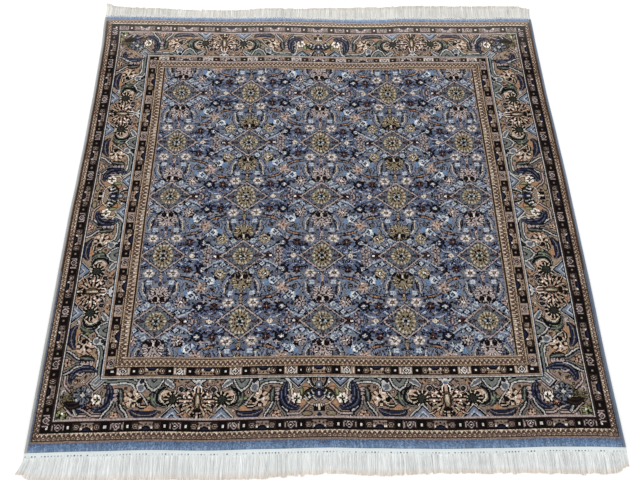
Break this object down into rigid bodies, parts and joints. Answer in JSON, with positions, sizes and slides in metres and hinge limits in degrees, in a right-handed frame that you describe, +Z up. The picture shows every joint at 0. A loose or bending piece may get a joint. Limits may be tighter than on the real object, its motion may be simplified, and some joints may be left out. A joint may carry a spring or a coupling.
{
  "type": "indo herati rug",
  "caption": "Square hand-knotted wool rug that lies flat, with an all-over Herati field in slate blue, tan borders, overcast blue side cords and a white cotton fringe at both ends.",
  "frame": {"origin": "middle of the rug's bounding box, on the floor that it lies on", "axes": "+Z up out of the pile, +Y along the warps from one fringe to the other, +X across the rug from the left selvedge to the right one"},
  "size_m": [1.5156, 1.656, 0.01],
  "materials": {
    "wool_pile": "clipped wool pile, matte with a faint sheen",
    "overcast_wool": "wrapped wool yarn, matte",
    "cotton_warp": "undyed cotton yarn, matte"
  },
  "bodies": {
    "root": {"carpet": "wool_pile", "selvedge_left": "overcast_wool", "selvedge_right": "overcast_wool", "fringe_near": "cotton_warp", "fringe_far": "cotton_warp"}
  },
  "joints": []
}
